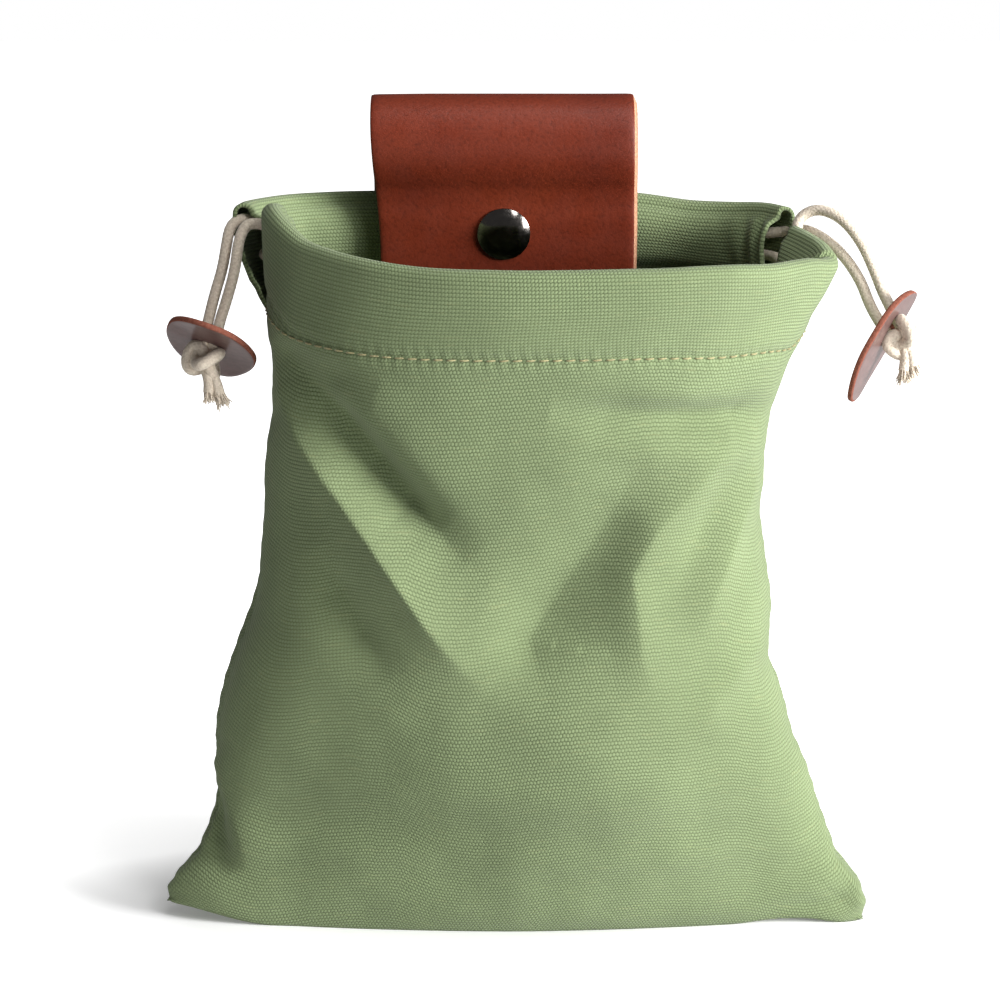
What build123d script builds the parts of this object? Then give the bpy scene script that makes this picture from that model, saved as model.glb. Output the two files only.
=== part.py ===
from build123d import *
from collections import namedtuple
from math import cos, pi, radians, sin, tan
import os

# Drawstring treat pouch in canvas, with a snap-closed leather belt loop. Millimetres.
# +Z is up, the front faces -Y, and the origin is the middle of the base on the surface that
# the pouch stands on. Front and back panel meet in the vertical plane y = SEAM_Y.

# ---- canvas body -------------------------------------------------------------------------
CANVAS = 1.2                 # thickness of one layer of canvas
SEAM_Y = 2.0                 # plane of the two side seams and of the bottom seam
ALLOWANCE = 8.0              # width of the seam allowances, turned to the inside
HEM_HEIGHT = 25.0            # turned hem that carries the drawstrings
CHANNEL_GAP = 7.2            # clear width inside the hem for two cords
HEM_TOTAL = 2 * CANVAS + CHANNEL_GAP
HEM_FOLD = 1.6               # solid canvas above the channel, at the fold
LEAN = 8.0                   # degrees that the back hem and the belt loop's legs lean forward
OUTLINE_STEPS = 14

# One level of the outline: its height, the ends of the front half and of the back half at
# the side seams, its front and back, and the superellipse exponents of its two halves.
# Below 2 the ends are pointed, above 2 full. The halves differ only where the slits part them.
Level = namedtuple("Level", "z left right back_left back_right front back front_power back_power")
LEVELS = [
    Level(0.0, -98.5, 99.0, -98.5, 99.0, -4.0, 30.0, 1.4, 1.4),
    Level(9.0, -100.5, 101.0, -100.5, 101.0, -10.5, 33.0, 1.6, 1.6),
    Level(26.0, -92.0, 92.5, -92.0, 92.5, -21.0, 37.0, 2.0, 2.0),
    Level(54.0, -87.5, 82.5, -87.5, 82.5, -32.5, 41.0, 2.3, 2.3),
    Level(90.0, -78.0, 73.0, -78.0, 73.0, -34.5, 43.5, 2.4, 2.5),
    Level(125.0, -72.5, 68.0, -72.5, 68.0, -35.0, 44.5, 2.5, 3.0),
    Level(154.0, -69.0, 72.0, -69.0, 72.0, -39.0, 44.5, 2.5, 3.6),
    Level(176.0, -70.0, 82.5, -70.0, 82.5, -45.5, 43.9, 2.4, 4.0),
    Level(198.0, -70.5, 89.0, -74.5, 83.0, -49.0, 40.8, 2.3, 4.0),
    Level(216.0, -71.0, 91.5, -77.0, 83.0, -50.0, 38.3, 2.3, 4.0),
]
FRONT_RIM = [(-110.0, 212.0), (-72.0, 208.5), (-59.0, 202.5), (-31.0, 198.2), (31.0, 198.2),
             (70.0, 197.6), (88.0, 197.6), (110.0, 197.6)]
BACK_RIM = [(-110.0, 208.5), (-72.0, 208.5), (-40.0, 208.5), (35.0, 208.0), (60.0, 206.0),
            (78.0, 204.5), (110.0, 203.0)]
FRONT, BACK = -1, 1

# ---- openings left in the hem at the two sides: front edge, back edge and lowest point ----
LEFT_SLIT = (-1.0, 11.0, 184.0)
RIGHT_SLIT = (3.0, 23.0, 176.0)

# ---- leather belt loop -------------------------------------------------------------------
LEATHER = 2.8
STRAP_WIDTH = 75.0
STRAP_X = -3.9               # middle of the strap
LEG_BOTTOM = 148.0
LEG_GAP = 0.3                # between the canvas and the leather leg
LOOP_RADIUS = 10.5           # middle of the leather, over the top of the loop
LOOP_TOP = 237.0
FLAP_BOTTOM = 180.0
HINGE_GAP = 0.3              # clearance at the fold line, beyond half the leather
CORNER = 6.0

# ---- snap fastener, line 24 --------------------------------------------------------------
SNAP_Z = 198.0
CAP_RADIUS = 7.5
CAP_HEIGHT = 3.0
POST_RADIUS = 2.0
SOCKET_RADIUS = 6.2
SOCKET_BORE = 3.9
STUD_RADIUS = 6.0
BULB_RADIUS = 3.0
SNAP_STACK = 4.4             # leather flap to canvas, with the snap closed
STUD_GAP = 0.35              # the stud's flange stands on the curve of the canvas
RIM_PLATE = 0.8              # flanges of the stud and of the back post
FIT = 0.1                    # radial clearance of a post in its hole

# ---- rivets ------------------------------------------------------------------------------
RIVET_Z = 160.0
RIVET_SPACING = 52.0
RIVET_CAP = 4.5
RIVET_POST = 1.6
RIVET_CAP_HEIGHT = 1.6

# ---- cords, stoppers and knots -----------------------------------------------------------
CORD = 3.0
LEFT_TRACK = CANVAS + 1.8    # depth of the left drawstring's middle inside the hem
RIGHT_TRACK = CANVAS + 5.0   # depth of the right drawstring's middle
HIGH, LOW = 6.2, 16.0        # levels of the cords below the rim
EXIT_GAP = 0.3               # between a drawstring's end in the hem and its free strand
LEAD = 4.0                   # straight last run of a drawstring
STOPPER_THICKNESS = 2.0
STOPPER_LENGTH = 35.0
STOPPER_WIDTH = 26.0
STOPPER_HOLE = 9.4
KNOT_RADIUS = 4.6
TAIL_RADIUS = 1.4

# Free strands, from the hem to the knot
LEFT_FRONT_ROUTE = [(-67.6, -2.6, 200.8), (-68.0, 2.2, 201.8), (-70.8, 5.0, 203.4), (-75.2, 4.4, 203.4),
                    (-77.2, 2.4, 199.0), (-78.0, -0.2, 191.4), (-80.2, -2.4, 183.6), (-82.4, -5.4, 176.8),
                    (-83.8, -9.2, 170.2)]
LEFT_BACK_ROUTE = [(-71.8, 13.2, 202.4), (-73.6, 9.2, 203.4), (-76.8, 7.6, 204.6), (-79.8, 6.2, 202.6),
                   (-80.8, 4.6, 197.4), (-81.8, 3.0, 191.2), (-84.0, 0.6, 184.2), (-85.6, -3.6, 177.0),
                   (-87.0, -7.9, 170.2)]
RIGHT_FRONT_ROUTE = [(82.0, 2.4, 193.2), (80.4, 7.4, 195.0), (78.0, 12.2, 198.0), (78.6, 16.0, 203.4),
                     (83.8, 15.6, 206.4), (90.2, 11.6, 204.4), (95.6, 7.8, 198.0), (99.2, 4.8, 190.0),
                     (101.6, 1.1, 183.2), (105.8, -3.2, 175.6)]
RIGHT_BACK_ROUTE = [(75.6, 23.4, 198.6), (79.6, 19.8, 200.2), (84.8, 15.8, 198.8), (90.6, 10.8, 194.4),
                    (95.4, 6.4, 187.6), (97.7, 2.8, 181.0), (100.2, -0.4, 176.6), (103.4, -4.2, 171.8)]
STRANDS = {"left_front_strand": LEFT_FRONT_ROUTE, "left_back_strand": LEFT_BACK_ROUTE,
           "right_front_strand": RIGHT_FRONT_ROUTE, "right_back_strand": RIGHT_BACK_ROUTE}

# Each cord end: its stopper's middle, the way out of the stopper towards the knot, the
# stopper's short axis, the hole's place along its long axis, the middle of the hole's two
# strands' direction, the knot's middle and the two tips of the frayed tails.
CordEnd = namedtuple("CordEnd", "middle normal short_axis hole_shift along knot tips")
LEFT_END = CordEnd((-84.6, -7.8, 171.4), (-0.325, -0.523, -0.789), (0.94, -0.083, -0.332), 0.0,
                   (-0.18, -0.50, -0.85), (-86.2, -10.9, 167.0), [(-80.8, -13.0, 156.0), (-84.6, -13.4, 157.0)])
RIGHT_END = CordEnd((99.8, -3.4, 170.8), (0.826, -0.386, -0.409), (0.240, 0.898, -0.370), 6.4,
                    (0.50, -0.46, -0.73), (107.0, -4.8, 173.0), [(106.2, -8.0, 161.6), (109.4, -7.6, 163.2)])

# ---- stitching ---------------------------------------------------------------------------
STITCH_LENGTH = 2.6
STITCH_PITCH = 3.5
STITCH_THICKNESS = 0.5
SEAM_STITCH_PITCH = 6.0


# ---- outline and panels ------------------------------------------------------------------
def blend_number(a, b, share):
    return a + (b - a) * share


def level_at(z):
    """The outline level at height z, between the two nearest listed ones."""
    for lower, upper in zip(LEVELS, LEVELS[1:]):
        if z <= upper.z:
            break
    share = (z - lower.z) / (upper.z - lower.z)
    return Level(*[blend_number(a, b, share) for a, b in zip(lower, upper)])


def outline_point(level, side, angle, inset=0.0):
    """A point of the front or back half outline; angle runs 0 to pi from left to right."""
    left, right = (level.left, level.right) if side == FRONT else (level.back_left, level.back_right)
    middle = (left + right) / 2
    half_width = (right - left) / 2 - inset
    reach = abs((level.front if side == FRONT else level.back) - SEAM_Y) - inset
    power = level.front_power if side == FRONT else level.back_power
    across = abs(cos(angle)) ** (2 / power) * (-1 if angle < pi / 2 else 1)
    out = max(sin(angle), 0.0) ** (2 / power)
    return (middle + half_width * across, SEAM_Y + side * reach * out, level.z)


def half_face(level, side, inset):
    points = [outline_point(level, side, pi * k / OUTLINE_STEPS, inset) for k in range(OUTLINE_STEPS + 1)]
    curve = Spline(*points)
    return make_face(curve + Line(points[-1], points[0]))


def half_body(side, inset, levels):
    return loft([half_face(level, side, inset) for level in levels])


def under_rim(rim, drop):
    """A block of everything that lies more than drop below the rim line."""
    top = Spline(*[(x, 0, z - drop) for x, z in rim])
    first, last = top @ 0, top @ 1
    sides = Polyline(last, (last.X, 0, -20), (first.X, 0, -20), first)
    return extrude(make_face(top + sides), amount=100, dir=(0, 1, 0), both=True)


def slit_wedge(slit, x_low, x_high):
    """The V-shaped opening between the ends of the two hems."""
    front, back, bottom = slit
    top = 240.0
    reach = (top - bottom) / (200.0 - bottom)
    profile = Polyline((x_low, SEAM_Y, bottom), (x_low, SEAM_Y + (back - SEAM_Y) * reach, top),
                       (x_low, SEAM_Y + (front - SEAM_Y) * reach, top), close=True)
    return extrude(make_face(profile), amount=x_high - x_low, dir=(1, 0, 0))


def allowance_core():
    """What lies inside the seam allowances, as a block through the seam plane."""
    inside = CANVAS + ALLOWANCE
    left = [(level.left + inside, 0, max(level.z, inside)) for level in LEVELS if level.z != 9.0]
    right = [(level.right - inside, 0, max(level.z, inside)) for level in LEVELS if level.z != 9.0]
    return extrude(make_face(Polyline(*left, *reversed(right), close=True)), amount=60, dir=(0, 1, 0), both=True)


def canvas_panel(side, rim):
    """One panel: wall, its half of the base, its turned hem and its seam allowances."""
    lifted = [LEVELS[0]._replace(z=CANVAS)] + LEVELS[1:]
    upper = LEVELS[-5:]
    inside = half_body(side, CANVAS, lifted)
    below_hem = under_rim(rim, HEM_HEIGHT)
    panel = half_body(side, 0.0, LEVELS) & under_rim(rim, 0.0)
    panel -= inside & below_hem
    panel -= half_body(side, HEM_TOTAL, upper) - below_hem
    channel = half_body(side, CANVAS, upper) - half_body(side, CANVAS + CHANNEL_GAP, upper)
    panel -= (channel & under_rim(rim, HEM_FOLD)) - under_rim(rim, HEM_HEIGHT - HEM_FOLD)
    strip = Pos(0, SEAM_Y + side * CANVAS / 2, LEFT_SLIT[2] / 2 - 10) * Box(240, CANVAS, LEFT_SLIT[2] - 20)
    panel += (inside & strip) - allowance_core()
    panel -= slit_wedge(LEFT_SLIT, -120, -45)
    panel -= slit_wedge(RIGHT_SLIT, 45, 120)
    return panel.solids().sort_by(SortBy.VOLUME)[-1]


# ---- stitching ---------------------------------------------------------------------------
def along(line, x):
    """The value above x on a line of (x, value) points, by straight interpolation."""
    for (x0, value0), (x1, value1) in zip(line, line[1:]):
        if x <= x1:
            break
    return blend_number(value0, value1, (x - x0) / (x1 - x0))


def stitch(start, end):
    """One stitch of thread, lying from start to end."""
    start, end = Vector(*start), Vector(*end)
    middle = (start + end) * 0.5
    return Plane(origin=middle, z_dir=end - start) * Cylinder(STITCH_THICKNESS / 2, STITCH_LENGTH)


def whole_stitches(stitches, *covers):
    """The stitches as the covers leave them, without those that hardly show."""
    for cover in covers:
        stitches -= cover
    full = pi * (STITCH_THICKNESS / 2) ** 2 * STITCH_LENGTH
    return Compound(children=[solid for solid in stitches.solids() if solid.volume > 0.5 * full])


def hem_stitching(side, rim):
    """A row of separate stitches that stands just proud of the canvas, below the hem."""
    proud = -STITCH_THICKNESS * 0.8
    samples = 400
    points = []
    for k in range(samples + 1):
        angle = pi * (0.06 + 0.88 * k / samples)
        x = outline_point(level_at(180.0), side, angle)[0]
        level = level_at(along(rim, x) - HEM_HEIGHT + 1.0)
        points.append(Vector(*outline_point(level, side, angle, proud)))
    stitches, travelled = [], 0.0
    for k in range(1, len(points)):
        travelled += (points[k] - points[k - 1]).length
        if travelled >= STITCH_PITCH:
            travelled = 0.0
            stitches.append(stitch(points[k - 1], points[k]))
    return Compound(children=stitches)


def side_stitching(sign):
    """Stitches up the inside of one side seam, on the front panel's allowance."""
    y = SEAM_Y - CANVAS - STITCH_THICKNESS / 2 - 0.02
    stitches = []
    z = 14.0
    while z < 158.0:
        level = level_at(z)
        edge = level.left if sign < 0 else level.right
        above = level_at(z + 1)
        edge_above = above.left if sign < 0 else above.right
        inward = -sign * (CANVAS + ALLOWANCE / 2)
        stitches.append(stitch((edge + inward, y, z), (edge_above + inward, y, z + 1)))
        z += SEAM_STITCH_PITCH
    return Compound(children=stitches)


def bottom_stitching():
    """Stitches along the bottom seam, on the front panel's allowance."""
    y = SEAM_Y - CANVAS - STITCH_THICKNESS / 2 - 0.02
    z = CANVAS + ALLOWANCE / 2
    count = 28
    return Compound(children=[stitch((x, y, z), (x + 1, y, z))
                              for x in [(k - count / 2) * SEAM_STITCH_PITCH for k in range(count + 1)]])


# ---- leather strap -----------------------------------------------------------------------
def back_surface(z):
    """The canvas back's outer y at the strap, where the hem leans."""
    return LEVELS[7].back - (z - LEVELS[7].z) * tan(radians(LEAN))


LEG_Y = LEVELS[6].back + LEG_GAP + LEATHER / 2
LEG_BEND_Z = 174.0
LOOP_CENTRE_Z = LOOP_TOP - LEATHER / 2 - LOOP_RADIUS
LEG_TOP_Z = LOOP_CENTRE_Z + LOOP_RADIUS * sin(radians(LEAN))
LEG_TOP_Y = LEG_Y - (LEG_TOP_Z - LEG_BEND_Z) * tan(radians(LEAN))
LOOP_CENTRE_Y = LEG_TOP_Y - LOOP_RADIUS * cos(radians(LEAN))
HINGE_Y = LOOP_CENTRE_Y - LOOP_RADIUS
HINGE_Z = LOOP_CENTRE_Z - LEATHER / 2 - HINGE_GAP
NORMAL = (0, -cos(radians(LEAN)), -sin(radians(LEAN)))
DOWN = (0, sin(radians(LEAN)), -cos(radians(LEAN)))
# y of the flap's front face at the snap: canvas, hem and closed snap stand behind it
SNAP_Y = back_surface(SNAP_Z) - (HEM_TOTAL + SNAP_STACK + LEATHER) / cos(radians(LEAN))
SNAP_PLANE = Plane(origin=(STRAP_X, SNAP_Y, SNAP_Z), x_dir=(1, 0, 0), z_dir=NORMAL)


def leather_band(path):
    section = Plane(origin=path @ 0, x_dir=(1, 0, 0), z_dir=path % 0) * Rectangle(STRAP_WIDTH, LEATHER)
    return sweep(section, path)


def strap_leg():
    """The leg behind the bag and the loop over the top, up to the flap's fold line."""
    leg = Polyline((STRAP_X, LEG_Y, LEG_BOTTOM), (STRAP_X, LEG_Y, LEG_BEND_Z), (STRAP_X, LEG_TOP_Y, LEG_TOP_Z))
    bend = FilletPolyline(*[tuple(v) for v in leg.vertices()], radius=60)
    crown = (STRAP_X, LOOP_CENTRE_Y - LOOP_RADIUS * sin(radians(LEAN / 2)),
             LOOP_CENTRE_Z + LOOP_RADIUS * cos(radians(LEAN / 2)))
    arc = ThreePointArc((STRAP_X, LEG_TOP_Y, LEG_TOP_Z), crown, (STRAP_X, HINGE_Y, LOOP_CENTRE_Z))
    band = leather_band(bend) + leather_band(arc)
    for x in rivet_places():
        band -= rivet_axis(x) * Cylinder(RIVET_POST + FIT, 20)
    return band - SNAP_PLANE * Cylinder(POST_RADIUS + FIT, 80)


def strap_flap():
    """The flap, from its fold line down inside the mouth, with rounded lower corners."""
    back_of_snap = Vector(STRAP_X, SNAP_Y, SNAP_Z) - Vector(*NORMAL) * (LEATHER / 2)
    above = back_of_snap - Vector(*DOWN) * 12
    end = back_of_snap + Vector(*DOWN) * ((SNAP_Z - FLAP_BOTTOM) / cos(radians(LEAN)))
    knee = (STRAP_X, HINGE_Y, HINGE_Z - 4)
    path = FilletPolyline((STRAP_X, HINGE_Y, HINGE_Z), knee, tuple(above), tuple(end), radius=[8, 14])
    flap = leather_band(path)
    flap += Pos(STRAP_X, HINGE_Y, HINGE_Z) * Rot(0, 90, 0) * Cylinder(LEATHER / 2, STRAP_WIDTH)
    height = 2 * (HINGE_Z - FLAP_BOTTOM)
    outline = Plane(origin=(STRAP_X, 0, HINGE_Z), x_dir=(1, 0, 0), z_dir=(0, -1, 0)) \
        * RectangleRounded(STRAP_WIDTH, height, CORNER)
    flap &= extrude(outline, amount=80, both=True)
    return flap - SNAP_PLANE * Cylinder(POST_RADIUS + FIT, 20)


# ---- snap fastener: depths are measured inward from the flap's front face ----------------
def turned(profile):
    """A body of revolution on the snap's axis, from (radius, height) points."""
    face = make_face(Polyline(*[(r, 0, h) for r, h in profile], close=True))
    return SNAP_PLANE * revolve(face, Axis.Z)


SOCKET_BACK = -(LEATHER + 2.9)
CANVAS_FACE = -(LEATHER + SNAP_STACK)
LEG_FACE = (SNAP_Y + (SNAP_Z - LEG_BEND_Z) * tan(radians(LEAN)) - LEG_Y) * cos(radians(LEAN)) - LEATHER / 2


def snap_cap():
    edge = 0.9
    rise = CAP_HEIGHT - edge
    dome = ThreePointArc((0, 0, CAP_HEIGHT), (CAP_RADIUS * 0.55, 0, edge + rise * 0.80), (CAP_RADIUS, 0, edge))
    rest = Polyline((CAP_RADIUS, 0, edge), (CAP_RADIUS, 0, 0.05), (POST_RADIUS, 0, 0.05), (POST_RADIUS, 0, -3.7),
                    (2.8, 0, -3.7), (2.8, 0, -4.0), (0, 0, -4.0), (0, 0, CAP_HEIGHT))
    return SNAP_PLANE * revolve(make_face(dome + rest), Axis.Z)


def snap_socket():
    wall = -(LEATHER + 0.7)
    return turned([(POST_RADIUS + FIT, -LEATHER - 0.05), (SOCKET_RADIUS, -LEATHER - 0.05),
                   (SOCKET_RADIUS, SOCKET_BACK), (SOCKET_BORE, SOCKET_BACK), (SOCKET_BORE, wall),
                   (POST_RADIUS + FIT, wall)])


def snap_stud():
    base = CANVAS_FACE + STUD_GAP
    plate = base + RIM_PLATE
    tip = base + 2.4
    hole = POST_RADIUS + FIT
    return turned([(hole, base), (STUD_RADIUS, base), (STUD_RADIUS, plate),
                   (BULB_RADIUS - 0.3, plate), (BULB_RADIUS, plate + 0.8), (BULB_RADIUS - 0.3, tip), (hole, tip)])


def snap_post():
    plate = LEG_FACE - 0.05
    return turned([(0, plate - RIM_PLATE), (STUD_RADIUS - 0.5, plate - RIM_PLATE), (STUD_RADIUS - 0.5, plate),
                   (POST_RADIUS, plate), (POST_RADIUS, CANVAS_FACE + 2.3), (0, CANVAS_FACE + 2.3)])


# ---- rivets ------------------------------------------------------------------------------
def rivet_places():
    return [STRAP_X - RIVET_SPACING / 2, STRAP_X + RIVET_SPACING / 2]


def rivet_axis(x):
    """A plane on the leg's outer face, looking out of it."""
    return Plane(origin=(x, LEG_Y + LEATHER / 2, RIVET_Z), x_dir=(1, 0, 0), z_dir=(0, 1, 0))


def rivet_head(height):
    """A low domed cap, its flat side down."""
    profile = ThreePointArc((0, 0, height), (RIVET_CAP * 0.6, 0, height * 0.8), (RIVET_CAP, 0, 0.3)) \
        + Polyline((RIVET_CAP, 0, 0.3), (RIVET_CAP, 0, 0), (0, 0, 0), (0, 0, height))
    return revolve(make_face(profile), Axis.Z)


def rivet_inner_depth(x):
    """From the leg's outer face to the inside of the canvas at x."""
    level = level_at(RIVET_Z)
    middle = (level.back_left + level.back_right) / 2
    share = abs(x - middle) / ((level.back_right - level.back_left) / 2)
    surface = SEAM_Y + (level.back - SEAM_Y) * (1 - share ** level.back_power) ** (1 / level.back_power)
    return LEG_Y + LEATHER / 2 - surface + CANVAS + 0.8


def rivet_caps():
    heads = [rivet_axis(x) * Pos(0, 0, 0.03) * rivet_head(RIVET_CAP_HEIGHT) for x in rivet_places()]
    return Compound(children=heads)


def rivet_posts():
    """Tubular posts with their inner heads, one through each hole."""
    posts = []
    for x in rivet_places():
        depth = rivet_inner_depth(x)
        post = Pos(0, 0, -depth / 2) * Cylinder(RIVET_POST, depth)
        head = Pos(0, 0, -depth) * Rot(180, 0, 0) * rivet_head(1.2)
        posts.append(rivet_axis(x) * (post + head))
    return Compound(children=posts)


# ---- cords -------------------------------------------------------------------------------
def corner_radii(route):
    """One radius for each corner: 0.45 of the shorter run over tan of half the turn."""
    radii = []
    for before, corner, after in zip(route, route[1:], route[2:]):
        run_in = Vector(*corner) - Vector(*before)
        run_out = Vector(*after) - Vector(*corner)
        turn = radians(run_in.get_angle(run_out))
        radii.append(0.45 * min(run_in.length, run_out.length) / tan(turn / 2))
    return radii


def cord_tube(name, route):
    """A plain round tube along straight runs and tangent arcs."""
    radii = corner_radii(route)
    path = FilletPolyline(*route, radius=radii)
    section = Plane(origin=path @ 0, z_dir=path % 0) * Circle(CORD / 2)
    tube = sweep(section, path)
    expected = pi * (CORD / 2) ** 2 * path.length
    print(f"{name}: length {path.length:.1f}, volume {tube.volume:.0f} of {expected:.0f}, "
          f"smallest radius {min(radii):.1f}")
    return tube


def free_strand(name, route):
    """A free cord end, with a round start that can turn in its exit."""
    return cord_tube(name, route) + Pos(*route[0]) * Sphere(CORD / 2)


def hem_track(side, rim, track, drops, start, end):
    """Points along the channel; start and end are shares of the half outline, from the left."""
    count = 24
    points = []
    for k in range(count + 1):
        angle = blend_number(start, end, k / count) * pi
        x = outline_point(level_at(195.0), side, angle, track)[0]
        height = along(rim, x) - along(drops, x)
        points.append(outline_point(level_at(height), side, angle, track))
    return points


def lead_out(route):
    """The last two points of a cord in the hem, in line with its free strand's start."""
    first, second = Vector(*route[0]), Vector(*route[1])
    way = (first - second).normalized()
    return [tuple(first + way * (CORD / 2 + EXIT_GAP + LEAD)), tuple(first + way * (CORD / 2 + EXIT_GAP))]


# Levels of each drawstring below the rim, from left to right. Both pass under the snap's post.
LEFT_FRONT_DROPS = [(-110.0, HIGH), (-60.0, HIGH), (70.0, LOW), (110.0, LOW)]
LEFT_BACK_DROPS = [(-110.0, HIGH), (-66.0, HIGH), (-36.0, LOW), (110.0, LOW)]
RIGHT_FRONT_DROPS = [(-110.0, LOW), (-60.0, LOW), (66.0, HIGH), (110.0, HIGH)]
RIGHT_BACK_DROPS = [(-110.0, LOW), (26.0, LOW), (64.0, HIGH), (110.0, HIGH)]


def left_drawstring():
    """In at the left slit, right round the hem, and out at the left slit again."""
    front = hem_track(FRONT, FRONT_RIM, LEFT_TRACK, LEFT_FRONT_DROPS, 0.08, 0.975)
    back = hem_track(BACK, BACK_RIM, LEFT_TRACK, LEFT_BACK_DROPS, 0.12, 0.90)
    return cord_tube("left_drawstring", [*reversed(lead_out(LEFT_FRONT_ROUTE)), *front, *reversed(back),
                                         *lead_out(LEFT_BACK_ROUTE)])


def right_drawstring():
    front = hem_track(FRONT, FRONT_RIM, RIGHT_TRACK, RIGHT_FRONT_DROPS, 0.02, 0.92)
    back = hem_track(BACK, BACK_RIM, RIGHT_TRACK, RIGHT_BACK_DROPS, 0.02, 0.68)
    return cord_tube("right_drawstring", [*reversed(lead_out(RIGHT_FRONT_ROUTE)), *reversed(front), *back,
                                          *lead_out(RIGHT_BACK_ROUTE)])


def stopper(end):
    """An oval leather disc with one hole that both strands pass through."""
    disc = Plane(origin=end.middle, x_dir=end.short_axis, z_dir=end.normal)
    body = extrude(disc * Ellipse(STOPPER_WIDTH / 2, STOPPER_LENGTH / 2), amount=STOPPER_THICKNESS / 2, both=True)
    hole_middle = disc.from_local_coords((0, end.hole_shift, 0))
    return body - Plane(origin=hole_middle, z_dir=end.along) * Cylinder(STOPPER_HOLE / 2, 12)


def knot(end):
    """The tied knot, with the two frayed tails under it."""
    body = Pos(*end.knot) * Sphere(KNOT_RADIUS)
    for tip in end.tips:
        tail = Vector(*tip) - Vector(*end.knot)
        middle = Vector(*end.knot) + tail * 0.5
        body += Plane(origin=middle, z_dir=tail) * Cylinder(TAIL_RADIUS, tail.length)
    return body


# ---- everything, one file for each node --------------------------------------------------
def write(name, shape):
    shape.label = name
    export_step(shape, f"parts/{name}.step")


def main():
    os.makedirs("parts", exist_ok=True)
    front = canvas_panel(FRONT, FRONT_RIM)
    back = canvas_panel(BACK, BACK_RIM) - SNAP_PLANE * Cylinder(POST_RADIUS + FIT, 80)
    for x in rivet_places():
        back -= rivet_axis(x) * Cylinder(RIVET_POST + FIT, 30)
    leg = strap_leg()
    strands = {name: free_strand(name, route) for name, route in STRANDS.items()}
    left_knot, right_knot = knot(LEFT_END), knot(RIGHT_END)
    for name, strand in strands.items():
        if name.startswith("left"):
            left_knot -= strand
        else:
            right_knot -= strand
    nodes = {
        "front_panel": front,
        "back_panel": back,
        "front_hem_stitching": whole_stitches(hem_stitching(FRONT, FRONT_RIM), front),
        "back_hem_stitching": whole_stitches(hem_stitching(BACK, BACK_RIM), back, leg),
        "left_side_stitching": side_stitching(-1),
        "right_side_stitching": side_stitching(1),
        "bottom_stitching": bottom_stitching(),
        "strap_leg": leg,
        "strap_flap": strap_flap(),
        "snap_cap": snap_cap(),
        "snap_socket": snap_socket(),
        "snap_stud": snap_stud(),
        "snap_post": snap_post(),
        "rivet_caps": rivet_caps(),
        "rivet_posts": rivet_posts(),
        "left_drawstring": left_drawstring(),
        "right_drawstring": right_drawstring(),
        **strands,
        "left_stopper": stopper(LEFT_END),
        "right_stopper": stopper(RIGHT_END),
        "left_knot": left_knot,
        "right_knot": right_knot,
    }
    for name, shape in nodes.items():
        write(name, shape)


main()
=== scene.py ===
import math
from collections import namedtuple

import bpy
import numpy as np
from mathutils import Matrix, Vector


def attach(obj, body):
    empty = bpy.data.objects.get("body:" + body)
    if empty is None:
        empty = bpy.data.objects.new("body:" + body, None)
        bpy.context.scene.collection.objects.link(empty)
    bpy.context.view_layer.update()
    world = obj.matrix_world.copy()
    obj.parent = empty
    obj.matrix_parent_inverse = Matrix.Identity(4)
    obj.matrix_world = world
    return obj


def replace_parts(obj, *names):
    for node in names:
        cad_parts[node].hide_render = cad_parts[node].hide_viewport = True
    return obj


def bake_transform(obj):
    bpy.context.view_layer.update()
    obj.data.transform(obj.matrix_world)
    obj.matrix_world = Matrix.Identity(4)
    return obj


# Looks of the drawstring treat pouch. Lengths in this script are millimetres in the frame of
# the CAD model, turned into metres when a mesh or curve is made.
MM = 0.001

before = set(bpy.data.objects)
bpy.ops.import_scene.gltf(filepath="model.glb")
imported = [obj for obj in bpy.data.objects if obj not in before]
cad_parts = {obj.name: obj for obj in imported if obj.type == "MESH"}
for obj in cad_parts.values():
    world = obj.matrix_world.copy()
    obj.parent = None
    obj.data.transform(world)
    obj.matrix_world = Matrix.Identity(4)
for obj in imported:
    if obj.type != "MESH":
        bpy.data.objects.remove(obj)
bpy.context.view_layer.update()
scene = bpy.context.scene


# ---- numbers ----------------------------------
def smooth_table(table, x):
    """Values at x on a smooth curve through a table of (place, value, ...) rows."""
    table = np.array(table, float)
    places, values = table[:, 0], table[:, 1:]
    slopes = np.gradient(values, places, axis=0)
    x = np.clip(np.asarray(x, float), places[0], places[-1])
    k = np.clip(np.searchsorted(places, x, side="right") - 1, 0, len(places) - 2)
    step = places[k + 1] - places[k]
    t = ((x - places[k]) / step)[..., None]
    step = step[..., None]
    ahead = values[k + 1] - values[k]
    result = (values[k] + t * slopes[k] * step
              + t * t * (3 * ahead - (2 * slopes[k] + slopes[k + 1]) * step)
              + t ** 3 * ((slopes[k] + slopes[k + 1]) * step - 2 * ahead))
    return result[..., 0] if values.shape[1] == 1 else result


def ease(a, b, x):
    """0 below a, 1 above b, smooth between."""
    t = np.clip((np.asarray(x, float) - a) / (b - a), 0, 1)
    return t * t * (3 - 2 * t)


def bell(x, width):
    return np.exp(-(x / width) ** 2)


def unit(v):
    return v / np.maximum(np.linalg.norm(v, axis=-1, keepdims=True), 1e-9)


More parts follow.
